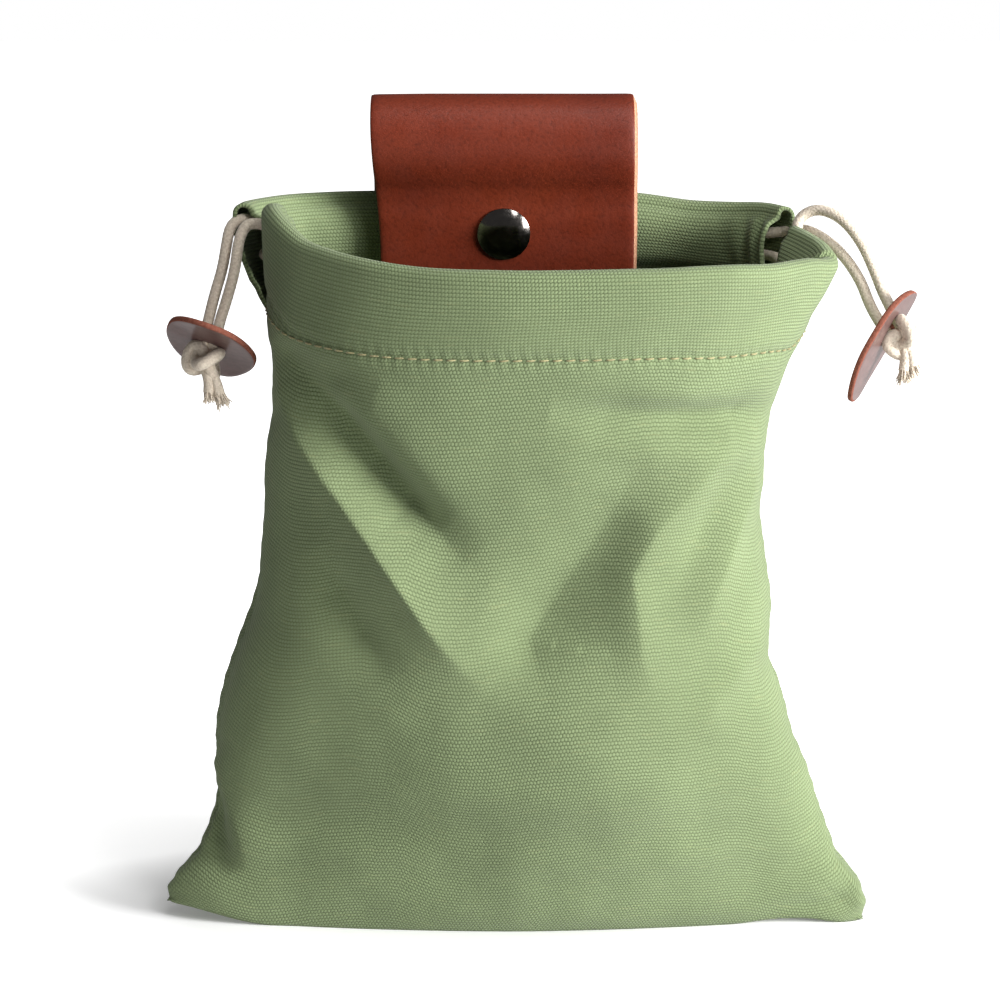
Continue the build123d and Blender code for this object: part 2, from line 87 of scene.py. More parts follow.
def soft_noise(a, b, cell, seed):
    """Smooth noise from -1 to 1 over two coordinates, with features about one cell wide."""
    table = np.random.default_rng(seed).uniform(-1, 1, (64, 64))
    a, b = np.asarray(a) / cell + 31.0, np.asarray(b) / cell + 31.0
    ia, ib = np.floor(a).astype(int), np.floor(b).astype(int)
    fa, fb = a - ia, b - ib
    fa, fb = fa * fa * (3 - 2 * fa), fb * fb * (3 - 2 * fb)
    low = table[ia % 64, ib % 64] * (1 - fa) + table[(ia + 1) % 64, ib % 64] * fa
    high = table[ia % 64, (ib + 1) % 64] * (1 - fa) + table[(ia + 1) % 64, (ib + 1) % 64] * fa
    return low * (1 - fb) + high * fb


def resample(points, count):
    """The same line with count points at equal steps."""
    steps = np.linalg.norm(np.diff(points, axis=0), axis=1)
    at = np.concatenate([[0], np.cumsum(steps)])
    wanted = np.linspace(0, at[-1], count)
    return np.stack([np.interp(wanted, at, points[:, i]) for i in range(points.shape[1])], axis=1)


# ---- meshes -----------------------------------
def add_object(name, mesh, materials, body):
    for material in materials:
        mesh.materials.append(material)
    obj = bpy.data.objects.new(name, mesh)
    scene.collection.objects.link(obj)
    if body:
        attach(obj, body)
    return obj


def grid_faces(rows, cols, round_rows=False, round_cols=False):
    i = np.arange(rows if round_rows else rows - 1)[:, None]
    j = np.arange(cols if round_cols else cols - 1)[None, :]
    ni, nj = (i + 1) % rows, (j + 1) % cols
    corners = [i * cols + j, i * cols + nj, ni * cols + nj, ni * cols + j]
    return np.stack([np.broadcast_to(c, (i.size, j.size)).ravel() for c in corners], axis=1)


def make_mesh(name, points, faces, uv=None, face_material=None):
    mesh = bpy.data.meshes.new(name)
    corners = (np.asarray(points).reshape(-1, 3) * MM).tolist()
    mesh.from_pydata(corners, [], [list(map(int, face)) for face in faces])
    if uv is not None:
        layer = mesh.uv_layers.new(name="cloth")
        loops = np.zeros(len(mesh.loops), dtype=np.int32)
        mesh.loops.foreach_get("vertex_index", loops)
        places = np.asarray(uv).reshape(-1, 2)[loops] * MM
        layer.data.foreach_set("uv", places.astype(np.float32).ravel())
    if face_material is not None:
        mesh.polygons.foreach_set("material_index", np.asarray(face_material, dtype=np.int32))
    mesh.shade_smooth()
    mesh.update()
    return mesh


def normals_along(points):
    """Two normals at each point of a line, turning as little as they can."""
    tangents = unit(np.gradient(points, axis=0))
    normals = [unit(np.cross(tangents[0], [0.3, 0.2, 1.0]))]
    for tangent in tangents[1:]:
        normals.append(unit(normals[-1] - tangent * np.dot(normals[-1], tangent)))
    normals = np.array(normals)
    return normals, np.cross(tangents, normals)


def tube_points(points, radius, around):
    """Rings round a line; radius may be a number, a value per ring or a (ring, around) grid."""
    n, b = normals_along(points)
    angle = np.linspace(0, 2 * math.pi, around, endpoint=False)[None, :]
    if np.ndim(radius) == 1:
        radius = np.asarray(radius, float).reshape(-1, 1)
    radius = np.broadcast_to(radius, (len(points), around))
    return (points[:, None, :] + n[:, None, :] * (np.cos(angle) * radius)[..., None]
            + b[:, None, :] * (np.sin(angle) * radius)[..., None])


def join_parts(parts):
    """Several (points, faces) as one."""
    points, faces, first = [], [], 0
    for part_points, part_faces in parts:
        points.append(part_points)
        faces.extend([[int(corner) + first for corner in face] for face in part_faces])
        first += len(part_points)
    return np.concatenate(points), faces


def capped_tube(points, radius, around):
    rings = tube_points(points, radius, around)
    faces = [list(face) for face in grid_faces(len(points), around, round_cols=True)]
    faces.append(list(range(around))[::-1])
    last = (len(points) - 1) * around
    faces.append([last + k for k in range(around)])
    return rings.reshape(-1, 3), faces


# ---- material nodes ---------------------------
class Shader:
    """A material and short calls that add its nodes."""

    def __init__(self, name, roughness=0.8, metallic=0.0, specular=0.3, sheen=0.0):
        self.material = bpy.data.materials.new(name)
        self.material.use_nodes = True
        self.tree = self.material.node_tree
        self.surface = self.tree.nodes["Principled BSDF"]
        self.surface.inputs["Roughness"].default_value = roughness
        self.surface.inputs["Metallic"].default_value = metallic
        self.surface.inputs["Specular IOR Level"].default_value = specular
        self.surface.inputs["Sheen Weight"].default_value = sheen

    def node(self, kind, **settings):
        node = self.tree.nodes.new(kind)
        for key, value in settings.items():
            setattr(node, key, value)
        return node

    def link(self, source, target):
        if isinstance(source, (int, float)):
            target.default_value = source
        else:
            self.tree.links.new(source, target)

    def math(self, operation, a, b=0.0, c=0.0):
        node = self.node("ShaderNodeMath", operation=operation)
        for value, socket in zip((a, b, c), node.inputs):
            self.link(value, socket)
        return node.outputs[0]

    def place(self, kind="Object"):
        return self.node("ShaderNodeTexCoord").outputs[kind]

    def noise(self, scale, detail=3.0, roughness=0.5, vector=None, stretch=None):
        vector = vector or self.place()
        if stretch:
            mapping = self.node("ShaderNodeMapping")
            mapping.inputs["Scale"].default_value = stretch
            self.link(vector, mapping.inputs[0])
            vector = mapping.outputs[0]
        node = self.node("ShaderNodeTexNoise")
        node.inputs["Scale"].default_value = scale
        node.inputs["Detail"].default_value = detail
        node.inputs["Roughness"].default_value = roughness
        self.link(vector, node.inputs["Vector"])
        return node.outputs["Fac"]

    def ramp(self, value, *stops):
        node = self.node("ShaderNodeValToRGB")
        ramp = node.color_ramp
        while len(ramp.elements) < len(stops):
            ramp.elements.new(0.5)
        for element, (place, colour) in zip(ramp.elements, stops):
            element.position = place
            element.color = (*colour, 1.0)
        self.link(value, node.inputs[0])
        return node.outputs[0]

    def mix(self, share, a, b, blend="MIX"):
        node = self.node("ShaderNodeMix", data_type="RGBA", blend_type=blend)
        self.link(share, node.inputs[0])
        for value, socket in ((a, node.inputs[6]), (b, node.inputs[7])):
            if isinstance(value, tuple):
                socket.default_value = (*value, 1.0)
            else:
                self.link(value, socket)
        return node.outputs[2]

    def colour(self, value):
        self.link(value, self.surface.inputs["Base Color"])

    def bump(self, height, distance):
        node = self.node("ShaderNodeBump")
        node.inputs["Strength"].default_value = 1.0
        node.inputs["Distance"].default_value = distance
        self.link(height, node.inputs["Height"])
        self.link(node.outputs[0], self.surface.inputs["Normal"])


WEAVE_ROW, WEAVE_COLUMN = 1.10, 0.98  # distance between yarn crowns


def canvas_material():
    """Plain weave: staggered rows of raised yarn crowns; the colour darkens from each crown into the gaps
    between them, painted shade in the weave's recesses.
    """
    s = Shader("pouch_canvas", roughness=0.95, specular=0.12, sheen=0.15)
    split = s.node("ShaderNodeSeparateXYZ")
    s.link(s.place("UV"), split.inputs[0])
    u, v = split.outputs[:2]
    row = s.math("DIVIDE", v, WEAVE_ROW * MM)
    row_number = s.math("FLOOR", row)
    shift = s.math("MULTIPLY", s.math("MODULO", row_number, 2.0), 0.5)
    column = s.math("ADD", s.math("DIVIDE", u, WEAVE_COLUMN * MM), shift)
    column_number = s.math("FLOOR", column)
    across = s.math("SUBTRACT", s.math("SUBTRACT", column, column_number), 0.5)
    along = s.math("SUBTRACT", s.math("SUBTRACT", row, row_number), 0.5)
    away = s.math("ADD", s.math("MULTIPLY", s.math("MULTIPLY", across, across), 3.0),
                  s.math("MULTIPLY", s.math("MULTIPLY", along, along), 4.2))
    crown = s.math("MAXIMUM", s.math("SUBTRACT", 1.0, away), 0.0)
    cell = s.node("ShaderNodeCombineXYZ")
    s.link(column_number, cell.inputs[0])
    s.link(row_number, cell.inputs[1])
    random = s.node("ShaderNodeTexWhiteNoise", noise_dimensions="2D")
    s.link(cell.outputs[0], random.inputs["Vector"])
    slub = s.noise(900.0, 2.0, vector=s.place("UV"), stretch=(0.12, 1.0, 1.0))
    patches = s.noise(38.0, 3.0)
    # painted shade: the yarn colour goes darker as each crown falls away into the gaps
    yarn = s.ramp(crown, (0.0, (0.124, 0.160, 0.076)), (0.30, (0.183, 0.232, 0.116)),
                  (0.85, (0.240, 0.302, 0.157)))
    varied = s.mix(s.math("MULTIPLY", random.outputs["Value"], 0.55), yarn, (0.182, 0.230, 0.116))
    yellowish = s.math("MULTIPLY", s.math("GREATER_THAN", slub, 0.66), 0.20)
    varied = s.mix(yellowish, varied, (0.31, 0.335, 0.165))
    shade = s.ramp(patches, (0.3, (0.90, 0.90, 0.90)), (0.7, (1.06, 1.06, 1.06)))
    s.colour(s.mix(1.0, varied, shade, blend="MULTIPLY"))
    height = s.math("ADD", s.math("POWER", crown, 0.7), s.math("MULTIPLY", slub, 0.4))
    s.bump(height, 0.15 * MM)
    return s.material


def leather_grain_material():
    """Oiled red-brown full-grain leather."""
    s = Shader("leather_grain", roughness=0.50, specular=0.26)
    s.surface.inputs["Coat Weight"].default_value = 0.05
    s.surface.inputs["Coat Roughness"].default_value = 0.35
    clouds = s.noise(28.0, 4.0, 0.55)
    pores = s.noise(900.0, 3.0, 0.6)
    base = s.ramp(clouds, (0.25, (0.118, 0.0165, 0.0070)), (0.55, (0.160, 0.0240, 0.0090)),
                  (0.8, (0.215, 0.0360, 0.0130)))
    dark = s.ramp(pores, (0.30, (0.72, 0.72, 0.72)), (0.50, (1.0, 1.0, 1.0)))
    s.colour(s.mix(1.0, base, dark, blend="MULTIPLY"))
    rough = s.ramp(s.noise(150.0, 2.0), (0.3, (0.42, 0.42, 0.42)), (0.7, (0.56, 0.56, 0.56)))
    s.link(rough, s.surface.inputs["Roughness"])
    s.bump(s.math("ADD", pores, s.math("MULTIPLY", s.noise(260.0, 2.0), 0.8)), 0.10 * MM)
    return s.material


def fibrous_material(name, dark, light, noise, edge, depth, **surface):
    """Two shades mixed by fine fibres: raw leather, cotton or thread."""
    s = Shader(name, **surface)
    fibres = s.noise(*noise)
    s.colour(s.ramp(fibres, (edge, dark), (1 - edge, light)))
    s.bump(fibres, depth * MM)
    return s.material


def metal_material(name, colour, roughness):
    """Plated metal with faint scuffs."""
    s = Shader(name, roughness=roughness, metallic=1.0, specular=0.5)
    scuffs = s.noise(300.0, 3.0, 0.6)
    s.colour(s.ramp(scuffs, (0.3, tuple(c * 0.85 for c in colour)), (0.7, colour)))
    rough = s.ramp(s.noise(700.0, 2.0), (0.35, (roughness * 0.8,) * 3), (0.7, (roughness * 1.3,) * 3))
    s.link(rough, s.surface.inputs["Roughness"])
    s.bump(scuffs, 0.01 * MM)
    return s.material


CANVAS = canvas_material()
GRAIN = leather_grain_material()
EDGE = fibrous_material("leather_edge", (0.34, 0.155, 0.085), (0.60, 0.34, 0.215),
                        (1400.0, 3.0, 0.6), 0.3, 0.12, roughness=0.85, specular=0.2)
OILED_EDGE = fibrous_material("oiled_leather_edge", (0.16, 0.048, 0.030), (0.27, 0.095, 0.062),
                              (1400.0, 3.0, 0.6), 0.3, 0.12, roughness=0.85, specular=0.2)
FLESH = fibrous_material("leather_flesh", (0.095, 0.050, 0.045), (0.155, 0.088, 0.080),
                         (500.0, 4.0, 0.6), 0.25, 0.05, roughness=0.30, specular=0.7)
COTTON = fibrous_material("cotton_cord", (0.52, 0.43, 0.335), (0.82, 0.73, 0.61),
                          (1500.0, 3.0, 0.6), 0.25, 0.14, roughness=0.92, specular=0.12, sheen=0.3)
# dark grey plating; the warm brownish cast of this colour is a painted reflection of the leather beside it
GUNMETAL_WITH_PAINTED_REFLECTION = metal_material("gunmetal_with_painted_reflection", (0.17, 0.155, 0.145), 0.17)
DULL_METAL = metal_material("dull_metal", (0.22, 0.21, 0.19), 0.32)
THREAD = fibrous_material("khaki_thread", (0.21, 0.19, 0.09), (0.40, 0.36, 0.18),
                          (2200.0, 2.0), 0.3, 0.06, roughness=0.7, specular=0.3, sheen=0.2)

# ---- camera and cords come first --------------
camera = bpy.data.objects.new("camera", bpy.data.cameras.new("camera"))
scene.collection.objects.link(camera)
camera.location = (-0.005, -0.6844, 0.2965)
camera.data.lens = 90
camera.data.sensor_width = 36
target = Vector((-0.005, 0.0045, 0.1247))
camera.rotation_euler = (target - camera.location).to_track_quat("-Z", "Y").to_euler()
scene.camera = camera

CORD = 3.0  # diameter
# Length, and route from the hem to the knot
STRANDS = {
    "left_front_strand": (49.9, [
        (-67.6, -2.6, 200.8), (-68.0, 2.2, 201.8), (-70.8, 5.0, 203.4), (-75.2, 4.4, 203.4),
        (-77.2, 2.4, 199.0), (-78.0, -0.2, 191.4), (-80.2, -2.4, 183.6), (-82.4, -5.4, 176.8),
        (-83.8, -9.2, 170.2)]),
    "left_back_strand": (48.0, [
        (-71.8, 13.2, 202.4), (-73.6, 9.2, 203.4), (-76.8, 7.6, 204.6), (-79.8, 6.2, 202.6),
        (-80.8, 4.6, 197.4), (-81.8, 3.0, 191.2), (-84.0, 0.6, 184.2), (-85.6, -3.6, 177.0),
        (-87.0, -7.9, 170.2)]),
    "right_front_strand": (67.0, [
        (82.0, 2.4, 193.2), (80.4, 7.4, 195.0), (78.0, 12.2, 198.0), (78.6, 16.0, 203.4),
        (83.8, 15.6, 206.4), (90.2, 11.6, 204.4), (95.6, 7.8, 198.0), (99.2, 4.8, 190.0),
        (101.6, 1.1, 183.2), (105.8, -3.2, 175.6)]),
    "right_back_strand": (51.1, [
        (75.6, 23.4, 198.6), (79.6, 19.8, 200.2), (84.8, 15.8, 198.8), (90.6, 10.8, 194.4),
        (95.4, 6.4, 187.6), (97.7, 2.8, 181.0), (100.2, -0.4, 176.6), (103.4, -4.2, 171.8)]),
}


def curve_points(points):
    """Points along a smooth curve with the given control points, in millimetres."""
    data = bpy.data.curves.new("route", "CURVE")
    data.dimensions = "3D"
    spline = data.splines.new("NURBS")
    spline.points.add(len(points) - 1)
    for control, point in zip(spline.points, points):
        control.co = (point[0] * MM, point[1] * MM, point[2] * MM, 1.0)
    spline.order_u = 3
    spline.use_endpoint_u = True
    spline.resolution_u = 12
    curve = bpy.data.objects.new("route", data)
    scene.collection.objects.link(curve)
    mesh = bpy.data.meshes.new_from_object(curve)
    line = np.array([vertex.co for vertex in mesh.vertices]) / MM
    bpy.data.objects.remove(curve)
    bpy.data.curves.remove(data)
    bpy.data.meshes.remove(mesh)
    return line


def braided_cord(line, radius=CORD / 2, step=0.28, around=32):
    """Rings of a tight round braid round a line."""
    length = np.linalg.norm(np.diff(line, axis=0), axis=1).sum()
    line = resample(line, int(length / step) + 2)
    along = np.linspace(0, length, len(line))[:, None]
    angle = np.linspace(0, 2 * math.pi, around, endpoint=False)[None, :]
    right = np.cos(4 * angle + along * 2.1)
    left = np.cos(4 * angle - along * 2.1)
    relief = np.maximum(np.abs(right), np.abs(left))
    return capped_tube(line, radius * (0.90 + 0.14 * relief), around)


def make_strands():
    pieces = {}
    for name, (_, route) in STRANDS.items():
        line = curve_points(route)
        body = name.split("_")[0] + "_cord_end"
        piece = add_object("woven_" + name, make_mesh(name, *braided_cord(line)), [COTTON], body)
        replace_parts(piece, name)
        pieces[name] = (piece, line)
    return pieces


# ---- knots and stoppers -----------------------
# Each end: stopper's middle, way out towards the knot, its short axis, hole's shift along its
# long axis, knot's middle, and the tips of its two tails.
ENDS = {
    "left": ((-84.6, -7.8, 171.4), (-0.325, -0.523, -0.789), (0.94, -0.083, -0.332), 0.0,
             (-86.2, -10.9, 167.0), [(-80.8, -13.0, 156.0), (-84.6, -13.4, 157.0)]),
    "right": ((99.8, -3.4, 170.8), (0.826, -0.386, -0.409), (0.240, 0.898, -0.370), 6.4,
              (107.0, -4.8, 173.0), [(106.2, -8.0, 161.6), (109.4, -7.6, 163.2)]),
}
STOPPER_SIZE = (13.0, 17.5, 1.6)  # half width, half length, thickness
STOPPER_HOLE = 3.9  # radius
# Section from the hole over the flesh side to the outer edge and back on the grain side:
# share of the way from the hole to the edge, and level in half thicknesses
FLAT_SHARES = (0.15, 0.3, 0.5, 0.7, 0.87)
STOPPER_SECTION = ([(0.0, -0.5), (0.0, 0.5), (0.012, 0.85), (0.04, 1.0)] + [(f, 1.0) for f in FLAT_SHARES]
                   + [(0.965, 1.0), (0.99, 0.8), (1.0, 0.45), (1.0, -0.45), (0.99, -0.8), (0.965, -1.0)]
                   + [(f, -1.0) for f in FLAT_SHARES[::-1]] + [(0.04, -1.0), (0.012, -0.85)])
KNOT_SIZES = (1.0, 1.65)  # the two cords are tied side by side
KNOT_TURN = {"left": 0.6, "right": 2.1}
KNOT_SINK = 0.9  # how far the knot sits in towards its stopper
KNOT_HEIGHT = 1.15  # stretch along the stopper's normal
KNOT_CORD_RADIUS = 1.6
TAIL_SEED = {"left": 10, "right": 20}
TAIL_START = 2.4  # distance of a tail's start from the knot's middle
FIRM_SHARE = 0.72  # share of a tail that is still cord
YARNS = 70  # loose yarns in a tail


def end_axes(side):
    """Normal, short and long direction of the stopper on one side."""
    normal, short = ENDS[side][1:3]
    normal = unit(np.array(normal))
    short = unit(np.array(short) - normal * np.dot(short, normal))
    return normal, short, np.cross(normal, short)


def stopper(side):
    """An oval of leather with a round hole; grain side up, flesh side towards the knot."""
    middle, shift = np.array(ENDS[side][0]), ENDS[side][3]
    normal, short, long = end_axes(side)
    around = 120
    angle = np.linspace(0, 2 * math.pi, around, endpoint=False)
    half_w, half_l, thick = STOPPER_SIZE
    wobble = 1 + 0.012 * np.cos(3 * angle + 1.0) + 0.008 * np.cos(5 * angle)
    outer = np.stack([half_w * np.cos(angle) * wobble, half_l * np.sin(angle) * wobble], axis=1)
    inner = np.stack([STOPPER_HOLE * np.cos(angle), STOPPER_HOLE * np.sin(angle) + shift], axis=1)
    rows, kinds = [], []
    for share, level in STOPPER_SECTION:
        flat = inner * (1 - share) + outer * share
        cup = 0.9 * (flat[:, 1] / half_l) ** 2 - 0.5 * (flat[:, 0] / half_w) ** 2
        dish = soft_noise(flat[:, 0], flat[:, 1], 9.0, 4) * 0.25
        rows.append(middle + flat[:, :1] * short + flat[:, 1:] * long
                    + (level * (thick / 2) + cup + dish)[:, None] * normal)
    for (_, level), (_, next_level) in zip(STOPPER_SECTION, STOPPER_SECTION[1:] + STOPPER_SECTION[:1]):
        flat_face = level == next_level and abs(level) == 1.0
        kinds.append((2 if level > 0 else 0) if flat_face else 1)
    faces = grid_faces(len(STOPPER_SECTION), around, round_rows=True, round_cols=True)
    name = side + "_stopper"
    mesh = make_mesh(name, np.array(rows), faces, face_material=np.repeat(kinds, around))
    piece = add_object("oval_" + name, mesh, [GRAIN, OILED_EDGE, FLESH], side + "_cord_stopper")
    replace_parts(piece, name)
    return piece


def knot_line(size, turn):
    """A closed trefoil, the line of an overhand knot, turned about its own axis."""
    t = np.linspace(0, 2 * math.pi, 120)
    x = np.sin(t) + 2 * np.sin(2 * t)
    y = np.cos(t) - 2 * np.cos(2 * t)
    z = -1.5 * np.sin(3 * t)
    x, y = x * math.cos(turn) - y * math.sin(turn), x * math.sin(turn) + y * math.cos(turn)
    return np.stack([x, y, z], axis=1) * size


def frayed_tail(start, tip, seed):
    """A short end of cord whose last part has come apart into yarns."""
    rng = np.random.default_rng(seed)
    way = unit(tip - start)
    reach = np.linalg.norm(tip - start)
    side = unit(np.cross(way, [0.2, 1.0, 0.3]))
    other = np.cross(way, side)
    t = np.linspace(0, 1, 12)[:, None]
    firm = start + way * reach * FIRM_SHARE * t + side * 0.5 * np.sin(t * 3)
    parts = [braided_cord(firm)]
    k = np.linspace(0, 1, 6)[:, None]
    for _ in range(YARNS):
        a, r = rng.uniform(0, 2 * math.pi), rng.uniform(0.1, 1.3)
        outward = side * math.cos(a) + other * math.sin(a)
        spread = rng.uniform(0.05, 0.38)
        length = reach * rng.uniform(0.20, 0.38)
        bend = rng.normal(0, 0.25, 3)
        line = firm[-2] + outward * r + way * length * k + outward * spread * length * k ** 1.5 \
            + bend * k ** 2 * length * 0.4 + np.array([0, 0, -0.4]) * k ** 2
        parts.append(capped_tube(line, np.linspace(0.26, 0.15, 6), 5))
    return parts


def knot(side):
    """Two trefoils of cord, the short ends of the strands that run into them, and two tails."""
    normal, short, long = end_axes(side)
    middle = np.array(ENDS[side][4]) - normal * KNOT_SINK
    parts = []
    for size in KNOT_SIZES:
        base = knot_line(size, KNOT_TURN[side])
        line = middle + base[:, :1] * short + base[:, 1:2] * long + base[:, 2:] * normal * KNOT_HEIGHT
        parts.append(braided_cord(np.concatenate([line, line[1:3]]), radius=KNOT_CORD_RADIUS))
    for name, (_, route) in STRANDS.items():
        if name.startswith(side):
            end, before = np.array(route[-1]), np.array(route[-2])
            t = np.linspace(0, 1, 10)[:, None]
            inside = end + unit(before - end) * 1.5
            parts.append(braided_cord(inside * (1 - t) ** 2 + 2 * end * t * (1 - t) + middle * t ** 2))
    for number, tip in enumerate(np.array(ENDS[side][5])):
        start = middle + unit(tip - middle) * TAIL_START
        parts += frayed_tail(start, tip, seed=number + TAIL_SEED[side])
    name = side + "_knot"
    mesh = make_mesh(name, *join_parts(parts))
    piece = add_object("tied_" + name, mesh, [COTTON], side + "_cord_end")
    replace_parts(piece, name)
    return piece


strands = make_strands()
stoppers = {side: stopper(side) for side in ENDS}
knots = {side: knot(side) for side in ENDS}

# ---- canvas panels ----------------------------
SEAM_Y = 2.0  # plane of the side and bottom seams
BASE_SEAM_Z = 0.9  # the bottom seam stands this far off the table
CLOTH = 1.1  # thickness
HEM = 25.0  # depth of the turned hem
STITCH_GROOVE = 24.0  # the pressed-in row, below the rim
STITCH_DROP = 24.5  # the thread, below the rim
STITCH = 3.5  # distance from stitch to stitch
FRONT, BACK = -1, 1  # the two panels, by the side of the seam plane
COLUMNS = {FRONT: 281, BACK: 151}
ROW_SPACING = {FRONT: 1.0, BACK: 1.8}
# Height: left end, right end, front, back, exponents of the front's left and right, of the back
SHAPE = [(0, -101.4, 100.4, -12.0, 30.0, 1.8, 1.5, 1.4), (4, -103.0, 102.4, -14.5, 31.5, 1.8, 1.6, 1.5),
    (9, -102.2, 102.6, -17.0, 33.0, 1.8, 1.65, 1.6), (14, -99.4, 100.0, -19.0, 34.4, 1.85, 1.7, 1.7),
    (20, -94.8, 94.6, -21.0, 35.8, 1.9, 1.85, 1.85), (26, -91.8, 92.0, -23.2, 37.0, 2.0, 2.0, 2.0),
    (35, -88.7, 88.4, -25.6, 38.6, 2.1, 2.1, 2.1), (50, -88.2, 82.8, -31.4, 40.6, 2.25, 2.25, 2.25),
    (57, -88.0, 79.6, -33.0, 41.2, 2.3, 2.3, 2.3), (69, -85.5, 76.3, -34.6, 42.0, 2.35, 2.35, 2.35),
    (81, -81.6, 71.6, -34.7, 42.8, 2.4, 2.4, 2.4), (96, -75.6, 72.0, -34.3, 43.7, 2.4, 2.4, 2.5),
    (114, -71.4, 69.6, -34.6, 44.2, 2.45, 2.45, 2.8), (125, -69.8, 68.0, -35.2, 44.4, 2.5, 2.5, 3.0),
    (137, -69.2, 69.0, -36.5, 44.5, 2.5, 2.5, 3.2), (154, -67.6, 71.2, -39.4, 44.5, 2.5, 2.5, 3.6),
    (168, -68.2, 75.2, -43.0, 44.3, 2.5, 2.4, 3.8), (176, -69.2, 79.6, -45.6, 43.9, 2.45, 2.3, 4.0)]
# Plan of the two hems' outer faces near the rim, from left to right
FRONT_RIM_PLAN = [(-69.6, 4.4), (-70.4, 0.4), (-69.8, -4.6), (-67.2, -11.6), (-61.8, -19.6),
    (-52.0, -29.0), (-41.0, -36.6), (-30.0, -41.6), (-17.0, -45.8), (-4.0, -48.0), (13.0, -49.2),
    (31.0, -48.8), (46.0, -46.6), (58.0, -42.0), (68.6, -34.0), (77.0, -24.4), (84.0, -14.8),
    (88.8, -7.8), (90.0, -4.8), (88.8, -1.4), (84.8, 5.6), (80.2, 13.4)]
BACK_RIM_PLAN = [(-78.8, 6.4), (-78.2, 11.4), (-73.6, 22.0), (-66.0, 31.4), (-54.0, 36.8),
    (-38.0, 39.2), (-18.0, 39.7), (0.0, 39.8), (18.0, 39.7), (34.0, 39.5), (50.0, 38.4), (61.0, 35.6),
    (69.6, 31.0), (75.4, 25.4), (78.4, 20.0)]
FRONT_RIM = [(-95, 209.6), (-70, 209.4), (-66, 206.8), (-60, 203.2), (-52, 201.4), (-42, 200.0),
    (-31, 198.9), (-5, 198.3), (31, 198.6), (57, 198.4), (70, 197.3), (82, 197.0), (89, 195.6),
    (100, 195.6)]
FRONT_END_RIM = 201.4  # height of the front hem's right end, behind the corner
CORNER_Y = -4.6  # the front hem turns back at its right corner here
BACK_RIM = [(-95, 208.8), (-70, 208.8), (-42, 209.0), (0, 208.8), (35, 208.4), (53, 206.4), (64, 206.2),
    (74, 206.4), (80, 206.0), (100, 206.0)]
RIM_LEVEL = 200.0
FOLD = 3.0  # radius of the turn at the rim
# Distance below the rim, and thickness of the hem there
HEM_THICKNESS = [(0, 2 * FOLD), (3, 6.6), (8, 7.9), (13, 8.1), (17, 7.6), (21, 4.4), (24.5, 2.5), (28, 2.5)]


def half_outline(row, side, count):
    """One level of a panel as count points at equal steps, from the left to the right seam."""
    _, left, right, front, back, left_power, right_power, back_power = row
    angle = np.linspace(0, math.pi, 600)
    c, s = np.cos(angle), np.maximum(np.sin(angle), 0)
    if side == FRONT:
        power, reach = np.where(angle < math.pi / 2, left_power, right_power), front - SEAM_Y
    else:
        power, reach = back_power, back - SEAM_Y
    x = (left + right) / 2 - np.sign(c) * (right - left) / 2 * np.abs(c) ** (2 / power)
    y = SEAM_Y + reach * s ** (2 / power)
    return resample(np.stack([x, y], axis=1), count)


def panel_plan(side, count):
    """Plan points at each level: heights, and an array (level, column, 2)."""
    heights = [row[0] for row in SHAPE]
    plans = [half_outline(row, side, count) for row in SHAPE]
    rim = np.array(FRONT_RIM_PLAN if side == FRONT else BACK_RIM_PLAN)
    at = np.concatenate([[0], np.cumsum(np.linalg.norm(np.diff(rim, axis=0), axis=1))])
    fine = smooth_table(np.column_stack([at, rim]), np.linspace(0, at[-1], 400))
    rim = resample(fine, count)
    below = plans[-1] * 0.40 + rim * 0.60
    bulge = np.array([0.0, -0.8 if side == FRONT else 0.9])
    plans += [below + bulge, rim, rim - bulge * 0.4]
    heights += [188.0, RIM_LEVEL, 212.0]
    return np.array(heights, float), np.array(plans)


def stroke(x, z, line, sharp):
    """Height of a fold drawn along a line of (x, z, height, left width, right width)."""
    line = np.array(line, float)
    nearest = np.full(x.shape, 1e9)
    result = np.zeros(x.shape)
    for a, b in zip(line, line[1:]):
        run = b[:2] - a[:2]
        t = np.clip(((x - a[0]) * run[0] + (z - a[1]) * run[1]) / (run @ run), 0, 1)
        dx, dz = x - (a[0] + t * run[0]), z - (a[1] + t * run[1])
        away = np.hypot(dx, dz)
        height = a[2] + (b[2] - a[2]) * t
        turned = np.sign(dx * run[1] - dz * run[0]) * np.sign(run[1])
        width = np.where(turned < 0, a[3] + (b[3] - a[3]) * t, a[4] + (b[4] - a[4]) * t)
        soft = bell(away, width)
        cusp = np.exp(-away / width * 1.3)
        value = height * (soft * (1 - sharp) + cusp * sharp)
        result = np.where(away < nearest, value, result)
        nearest = np.minimum(away, nearest)
    return result


